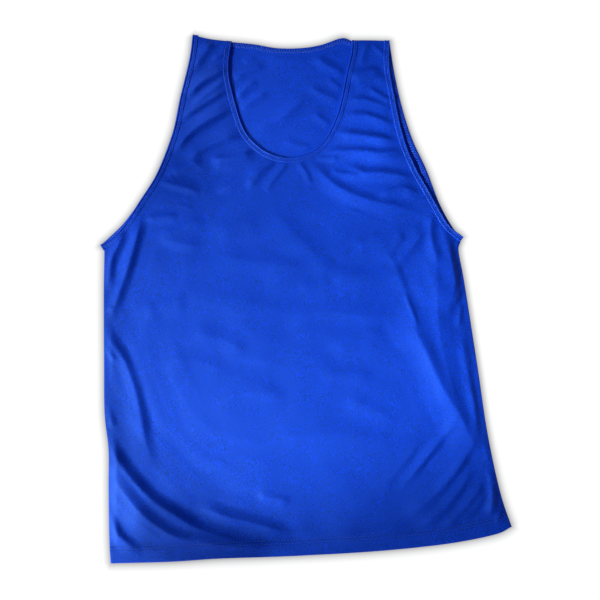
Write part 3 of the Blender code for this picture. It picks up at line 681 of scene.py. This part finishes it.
# ------------ materials
RIB_RELIEF, COURSE_RELIEF, FUZZ_RELIEF = 0.6, 0.4, 0.8   # shares of the knit's relief
RELIEF_STRENGTH = 0.6
RELIEF_DEPTH = 0.18
DYE_TONE, SPECKLE_TONE, RIB_TONE = 0.20, 3.6, 0.36       # what makes the colour uneven
TONE_SHIFT = -1.08    # brings the mean tone back to 1
DARKEST_TONE = 0.45
GROOVE_HALF = 1.2     # half width of the trough along a stitch row of the hem
GROOVE_DEPTH = -3.5   # of the same, in the knit's relief
GROOVE_PAINTED_SHADE = 0.09    # painted shade: share by which the colour is darkened in that trough
UNEVEN_ROUGHNESS = 0.12
SATIN_TINT = (0.19, 0.62, 1.0, 1.0)
SHEEN = 0.02
SHEEN_TINT = (0.12, 0.50, 1.0, 1.0)


def new_material(name):
    """A material, its nodes, its links and its shader."""
    made = bpy.data.materials.new(name)
    made.use_nodes = True
    nodes = made.node_tree.nodes
    return made, nodes, made.node_tree.links, nodes["Principled BSDF"]


def put(node, values):
    """Set a node's inputs by their names."""
    for name, value in values.items():
        node.inputs[name].default_value = value


def add_relief(nodes, links, shader, height, strength, depth):
    """Give a finish a fine relief, its depth in millimetres."""
    bump = nodes.new("ShaderNodeBump")
    put(bump, {"Strength": strength, "Distance": depth * MM})
    links.new(height, bump.inputs["Height"])
    links.new(bump.outputs["Normal"], shader.inputs["Normal"])


def tinted(nodes, links, colour, tone):
    """A colour times a tone that varies over the surface."""
    tint = nodes.new("ShaderNodeMix")
    tint.data_type = "RGBA"
    tint.blend_type = "MULTIPLY"
    tint.inputs[0].default_value = 1.0
    tint.inputs[6].default_value = (*colour, 1.0)
    links.new(tone, tint.inputs[7])
    return tint.outputs[2]


def knit_material(name, colour, roughness, hem_rows=False):
    """Polyester knit: ribs and courses of loops, fine grain, uneven dye, a satin sheen; with hem_rows also
    painted shade in the hem's stitch troughs.
    """
    made, nodes, links, shader = new_material(name)
    place = nodes.new("ShaderNodeTexCoord").outputs["Object"]
    turn = nodes.new("ShaderNodeMapping")
    put(turn, {"Rotation": (0, 0, -GRAIN_TILT)})
    links.new(place, turn.inputs["Vector"])
    grain = turn.outputs["Vector"]

    def waves(direction, spacing):
        node = nodes.new("ShaderNodeTexWave")
        node.bands_direction = direction
        put(node, {"Scale": 2 * math.pi / (20 * spacing * MM), "Distortion": 0.6, "Detail": 1.0})
        links.new(grain, node.inputs["Vector"])
        return node.outputs["Fac"]

    def noise(scale, detail):
        node = nodes.new("ShaderNodeTexNoise")
        put(node, {"Scale": scale, "Detail": detail})
        links.new(grain, node.inputs["Vector"])
        return node.outputs["Fac"]

    def calc(kind, a, b):
        node = nodes.new("ShaderNodeMath")
        node.operation = kind
        for socket, value in zip(node.inputs, (a, b)):
            if isinstance(value, (int, float)):
                socket.default_value = value
            else:
                links.new(value, socket)
        return node.outputs[0]

    ribs, courses, fuzz = waves("X", WALE), waves("Y", COURSE), noise(900, 2.0)
    height = calc("ADD", calc("MULTIPLY", ribs, RIB_RELIEF), calc("MULTIPLY", courses, COURSE_RELIEF))
    height = calc("ADD", height, calc("MULTIPLY", fuzz, FUZZ_RELIEF))
    if hem_rows:
        rows = hem_grooves(nodes, calc)
        height = calc("ADD", height, rows)
    add_relief(nodes, links, shader, height, RELIEF_STRENGTH, RELIEF_DEPTH)

    dye, speckle = noise(14, 3.0), noise(1500, 0.0)
    tone = calc("ADD", calc("MULTIPLY", dye, DYE_TONE), calc("MULTIPLY", speckle, SPECKLE_TONE))
    tone = calc("ADD", calc("ADD", tone, calc("MULTIPLY", ribs, RIB_TONE)), TONE_SHIFT)
    tone = calc("MAXIMUM", tone, DARKEST_TONE)
    if hem_rows:
        # painted shade: the colour is darkened along the hem's stitch troughs, where shade would fall
        tone = calc("MULTIPLY", tone, calc("ADD", calc("MULTIPLY", rows, GROOVE_PAINTED_SHADE), 1.0))
    links.new(tinted(nodes, links, colour, tone), shader.inputs["Base Color"])
    worn = calc("MULTIPLY", noise(60, 2.0), UNEVEN_ROUGHNESS)
    links.new(calc("ADD", worn, roughness - UNEVEN_ROUGHNESS / 2), shader.inputs["Roughness"])
    put(shader, {"Metallic": 0.0, "Specular IOR Level": 0.85, "Specular Tint": SATIN_TINT,
                 "Sheen Weight": SHEEN, "Sheen Roughness": 0.5, "Sheen Tint": SHEEN_TINT})
    made.diffuse_color = (*colour, 1.0)
    return made


def hem_grooves(nodes, calc):
    """Height of the two fine troughs that the hem's stitch rows pull into the cloth; it also sets the
    painted shade in them.
    """
    depth = nodes.new("ShaderNodeAttribute")
    depth.attribute_name = "from_hem"
    total = 0.0
    for row in HEM_ROWS:
        away = calc("ABSOLUTE", calc("SUBTRACT", depth.outputs["Fac"], row), 0.0)
        trough = calc("MAXIMUM", calc("SUBTRACT", 1.0, calc("DIVIDE", away, GROOVE_HALF)), 0.0)
        total = calc("ADD", total, calc("MULTIPLY", trough, GROOVE_DEPTH))
    return total


def thread_material(name, colour):
    """Spun polyester thread with a fine twist."""
    made, nodes, links, shader = new_material(name)
    place = nodes.new("ShaderNodeTexCoord").outputs["Object"]
    twist = nodes.new("ShaderNodeTexNoise")
    put(twist, {"Scale": 2200})
    links.new(place, twist.inputs["Vector"])
    ramp = nodes.new("ShaderNodeMapRange")
    put(ramp, {"To Min": 0.75, "To Max": 1.2})
    links.new(twist.outputs["Fac"], ramp.inputs["Value"])
    links.new(tinted(nodes, links, colour, ramp.outputs["Result"]), shader.inputs["Base Color"])
    put(shader, {"Roughness": 0.45})
    add_relief(nodes, links, shader, twist.outputs["Fac"], 0.3, 0.05)
    return made


BLUE = (0.0008, 0.037, 0.56)
BLUE_STRIP = (0.0008, 0.036, 0.54)
BLUE_INSIDE = (0.0009, 0.042, 0.63)
BLUE_THREAD = (0.03, 0.14, 0.90)

knit = knit_material("polyester_knit", BLUE, 0.66, hem_rows=True)
knit_inside = knit_material("polyester_knit_inside", BLUE_INSIDE, 0.68)
strip_knit = knit_material("binding_knit", BLUE_STRIP, 0.62)
thread = thread_material("sewing_thread", BLUE_THREAD)


# ------------ the garment
def dress(piece, slot, *nodes):
    """The piece rides on the part and stands for these solids, which are hidden. The slot is not used."""
    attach(piece, "root")
    if nodes:
        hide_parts(*nodes)
    return piece


NECK_MARGIN, ARMHOLE_MARGIN = 3, 10   # how far under the front the fine lattice of the back runs on
ARMHOLE_REACH = 30    # how far outside the front's right armhole the back can show


def near_opening(points):
    """Where the back panel shows: in the neck, and beside the right armhole of the front."""
    armhole = locate(ARMHOLE_RIMS[1], points, ARMHOLE_REACH)[1]
    beside = (armhole > -ARMHOLE_MARGIN) & np.isfinite(armhole)
    return (neck_side(points) < NECK_MARGIN) | beside


def make_panels():
    """The two panels, each with rows of points along its rim and a lattice inside."""
    rim_depths = (0.25 * EDGE_ROUND, EDGE_ROUND)
    loop = panel_loop(NECK_FRONT, ARMHOLE_RIGHT_FRONT, HEM_FRONT, ARMHOLE_LEFT_FRONT)
    inside = lattice(loop, FRONT_STEP, EDGE_ROUND + 0.4 * FRONT_STEP)
    inner = np.vstack([inner_rows(loop, rim_depths), inside])
    front = shell("front_panel_knit", loop, inner, front_under, front_over, knit)

    loop = panel_loop(NECK_BACK, ARMHOLE_RIGHT_BACK, HEM_BACK, ARMHOLE_LEFT_BACK)
    bare = lattice(loop, BARE_STEP, EDGE_ROUND + 0.4 * BARE_STEP, near_opening)
    covered = lattice(loop, COVERED_STEP, 5.0, lambda points: ~near_opening(points))
    inner = np.vstack([inner_rows(loop, rim_depths), bare, covered])
    back = shell("back_panel_knit", loop, inner, flat, back_over, knit_inside)
    dress(front, "knit", "front_panel")
    dress(back, "knit", "back_panel")
    return front, back


# The back neck strip runs on a little under the front one, so that no gap shows at the corners.
NECK_BACK_RUN = ((-104.5, 363.9),) + NECK_BACK + ((78.5, 364.0),)

# Columns: piece and node name, edge, section, surface that the strip lies on.
STRIPS = (
    ("neck_binding_front", NECK_FRONT, STRIP_FRONT, front_under),
    ("neck_binding_back", NECK_BACK_RUN, STRIP_BACK, flat),
    ("armhole_binding_right_front", ARMHOLE_RIGHT_FRONT, STRIP_FRONT, front_under),
    ("armhole_binding_right_back", ARMHOLE_RIGHT_BACK, STRIP_BACK, flat),
    ("armhole_binding_left_front", ARMHOLE_LEFT_FRONT, STRIP_FRONT, front_under),
    ("armhole_binding_left_back", ARMHOLE_LEFT_BACK, STRIP_BACK, flat),
)


def make_strips():
    made = []
    for number, (node, places, section, under) in enumerate(STRIPS):
        piece = strip(node + "_knit", places, section, under, strip_knit, 40 + number)
        made.append(dress(piece, "binding", node))
    return made


def strip_top(under):
    """The surface that the stitches of a strip lie on."""
    return lambda points: under(points) + STRIP_SEWN


def make_stitches():
    hem = stitch_lines(HEM_RIM, HEM_ROWS, front_over, HEM_LIFT)
    made = [rods("hem_stitches", hem, STITCH_RADII, thread)]
    for node, places, _, under in STRIPS:
        rim, top = edge(places), strip_top(under)
        if under is front_under:
            radii = STITCH_RADII
            lines = stitch_lines(rim, STRIP_ROWS, top, STITCH_LIFT)
        else:
            radii = LOOPER_RADII
            inner, outer = (moved_left(rim, -row) for row in INSIDE_ROWS)
            lines = zigzag_lines(inner, outer, top, LOOPER_LIFT)
        made.append(rods(node + "_stitches", lines, radii, thread))
    return [dress(piece, "binding") for piece in made]


front, back = make_panels()
strips = make_strips()
stitches = make_stitches()


# ------------ floor, light and camera
FLOOR_HALF = 3000.0   # half the floor's width
FLOOR_HEIGHT = -0.2
FLOOR_COLOUR = (0.08, 0.08, 0.08, 1.0)
FLOOR_GLOW = 0.99
PAINTED_SHADOW_WIDTH = 18.0           # width of the painted shadow round the vest
PAINTED_SHADOW_DEPTH = 0.61     # how much of the floor's glow it takes away at the edge
PAINTED_SHADOW_CURVE = 2.3      # how fast it fades outwards
PAINTED_SHADOW_RINGS = (2.8, 5.6, 8.4, 11.2, 14.0, PAINTED_SHADOW_WIDTH)   # the floor has a row of points at each of these
RING_SHARE = 0.97     # a point of such a row stays if it is this far out, as a share of the distance


def table_material(name):
    """Pale and glowing evenly, with a painted shadow that dims the glow close to the vest."""
    made, nodes, links, shader = new_material(name)
    put(shader, {"Base Color": FLOOR_COLOUR, "Roughness": 0.9, "Specular IOR Level": 0.1,
                 "Emission Color": (1, 1, 1, 1)})
    away = nodes.new("ShaderNodeAttribute")
    away.attribute_name = "from_vest"
    glow = nodes.new("ShaderNodeMapRange")
    put(glow, {"From Max": PAINTED_SHADOW_WIDTH, "To Min": 1.0, "To Max": 0.0})
    links.new(away.outputs["Fac"], glow.inputs["Value"])
    curve = nodes.new("ShaderNodeMath")
    curve.operation = "POWER"
    curve.inputs[1].default_value = PAINTED_SHADOW_CURVE
    links.new(glow.outputs["Result"], curve.inputs[0])
    # painted shadow: the floor's glow is taken down close to the vest's outline
    painted_shadow = nodes.new("ShaderNodeMath")
    painted_shadow.operation = "MULTIPLY_ADD"
    painted_shadow.inputs[1].default_value = -PAINTED_SHADOW_DEPTH
    painted_shadow.inputs[2].default_value = FLOOR_GLOW
    links.new(curve.outputs[0], painted_shadow.inputs[0])
    links.new(painted_shadow.outputs[0], shader.inputs["Emission Strength"])
    return made


def make_floor():
    """A pale glowing table, with a painted shadow close to the vest."""
    outline = np.vstack([SEAMS[0][:-1], NECK_RIM_BACK[:-1], SEAMS[1][:-1], edge(ARMHOLE_RIGHT_BACK)[:-1],
                         SEAMS[3], HEM_RIM_BACK[1:], SEAMS[2], edge(ARMHOLE_LEFT_BACK)[:-1]])
    closed = np.vstack([outline, outline[:1]])
    rings = []
    for depth in PAINTED_SHADOW_RINGS:
        row = moved_left(closed, depth)[:-1]
        rings.append(row[distance_to([closed], row, FAR) > RING_SHARE * depth])
    corners = FLOOR_HALF * np.array(SQUARE)
    places = [Vector(place) for place in np.vstack([corners, outline] + rings)]
    verts, _, faces, _, _, _ = delaunay_2d_cdt(places, [], [], 0, 1e-4)
    verts = np.array(verts)
    floor = add_mesh("floor", np.column_stack([verts, np.full(len(verts), FLOOR_HEIGHT)]), faces,
                     table_material("glowing_table_painted_shadow"))
    away = np.where(is_inside(outline, verts), 0.0, distance_to([closed], verts, FAR).clip(0, PAINTED_SHADOW_WIDTH))
    store(floor, "from_vest", away)


LIGHT_FROM = Vector((-0.908, -0.420, 0.0))   # the side that the light comes from, in plan
LIGHT_HEIGHT = math.radians(27)
LIGHT_FAR = 5.0       # metres to the main lamps
LAMP_COLOUR = (1.06, 1.02, 0.97)
SKY_COLOUR = (0.30, 0.66, 1.30, 1.0)
SKY_STRENGTH = 0.13
SUN_STRENGTH, SUN_SPREAD = 1.95, 16.0            # the spread in degrees
POOL_WATTS, POOL_CONE, POOL_SOFT = 4400, 50.0, 0.7
POOL_AIM = Vector((-0.65, -1.70, 0.0))           # past the hem: the cone's outer part lights the vest


def towards_light():
    """Direction from the vest to the main light."""
    return LIGHT_FROM.normalized() * math.cos(LIGHT_HEIGHT) + Vector((0, 0, math.sin(LIGHT_HEIGHT)))


def lamp(kind, name, energy, place, aim):
    """A lamp at a place that shines at a spot on the surface."""
    data = bpy.data.lights.new(name, kind)
    data.energy = energy
    data.color = LAMP_COLOUR
    made = bpy.data.objects.new(name, data)
    bpy.context.scene.collection.objects.link(made)
    made.location = place
    made.rotation_euler = (place - aim).to_track_quat("Z", "Y").to_euler()
    return made


def pool(name, watts, place, aim, cone, softness):
    """A lamp whose cone, in degrees, fades from its middle to its edge."""
    data = lamp("SPOT", name, watts, place, aim).data
    data.spot_size = math.radians(cone)
    data.spot_blend = 1.0
    data.shadow_soft_size = softness


# Small lamps that rake the folds beside the neck and inside it. Columns: name, place, direction to the
# lamp, power in watts, cone in degrees.
CHEST_LAMPS = (
    ("chest_right_pool", (98, 212), (-0.36, -0.82, 0.44), 9.0, 13.0),
    ("chest_left_pool", (-122, 262), (-0.66, 0.60, 0.46), 5.2, 15.0),
    ("neck_pool", (-10, 268), (-0.50, 0.74, 0.45), 2.3, 16.0),
)
CHEST_LAMP_FAR = 0.6
CHEST_LAMP_SOFT = 0.03


def make_lights():
    world = bpy.data.worlds.new("studio")
    bpy.context.scene.world = world
    world.use_nodes = True
    put(world.node_tree.nodes["Background"], {"Color": SKY_COLOUR, "Strength": SKY_STRENGTH})
    even = lamp("SUN", "even_light", SUN_STRENGTH, towards_light() * LIGHT_FAR, Vector((0, 0, 0)))
    even.data.angle = math.radians(SUN_SPREAD)
    pool("hem_pool", POOL_WATTS, towards_light() * LIGHT_FAR, POOL_AIM, POOL_CONE, POOL_SOFT)
    for name, spot, direction, watts, cone in CHEST_LAMPS:
        aim = Vector((*spot, 0)) * MM
        pool(name, watts, aim + Vector(direction).normalized() * CHEST_LAMP_FAR, aim, cone, CHEST_LAMP_SOFT)


# Sheets of gauze between the light and the vest. Each stands over the place that it shades, on the way to
# the light. Columns: name, middle of the shaded place, its length and width, how its length is turned from
# +X in radians, height of the sheet, share of light that it lets through.
Scrim = namedtuple("Scrim", "name middle size turn height clearness")

SCRIMS = (
    ("scrim_side", (242, -789), (2400, 1200), 0.298, 300.0, 0.29),
    ("scrim_hem", (-115, -332), (170, 76), -0.33, 40.0, 0.56),
    ("scrim_corner", (-188, -292), (310, 170), -0.62, 60.0, 0.71),
    ("scrim_left", (-258, -84), (310, 48), 1.69, 30.0, 0.70),
    ("scrim_chest", (-158, 238), (120, 230), -0.2, 90.0, 0.72),
)


def make_scrims():
    """The sheets only dim what passes through them; nothing sees them but the light's own rays."""
    for scrim in map(Scrim._make, SCRIMS):
        gauze, nodes, links, _ = new_material(scrim.name)
        clear = nodes.new("ShaderNodeBsdfTransparent")
        put(clear, {"Color": (*[scrim.clearness] * 3, 1.0)})
        links.new(clear.outputs["BSDF"], nodes["Material Output"].inputs["Surface"])
        along = np.array((math.cos(scrim.turn), math.sin(scrim.turn)))
        across = np.array((-along[1], along[0]))
        ray = towards_light()
        middle = np.array(scrim.middle) + np.array(ray[:2]) * scrim.height / ray[2]
        half = np.array(scrim.size) / 2
        corners = [middle + a * half[0] * along + b * half[1] * across for a, b in SQUARE]
        sheet = add_mesh(scrim.name, [(x, y, scrim.height) for x, y in corners], [(0, 1, 2, 3)], gauze)
        sheet.visible_camera = False
        sheet.visible_diffuse = False
        sheet.visible_glossy = False


CAMERA_PLACE = Vector((-0.001, -0.1651, 1.0398))
CAMERA_AIM = Vector((-0.001, -0.019, 0.0))
LENS, SENSOR = 45, 36   # millimetres


def make_camera():
    lens = bpy.data.cameras.new("camera")
    lens.lens, lens.sensor_width = LENS, SENSOR
    camera = bpy.data.objects.new("camera", lens)
    bpy.context.scene.collection.objects.link(camera)
    camera.location = CAMERA_PLACE
    camera.rotation_euler = (CAMERA_AIM - CAMERA_PLACE).to_track_quat("-Z", "Y").to_euler()
    bpy.context.scene.camera = camera


make_floor()
make_lights()
make_scrims()
make_camera()
bpy.context.scene.view_settings.view_transform = "Standard"
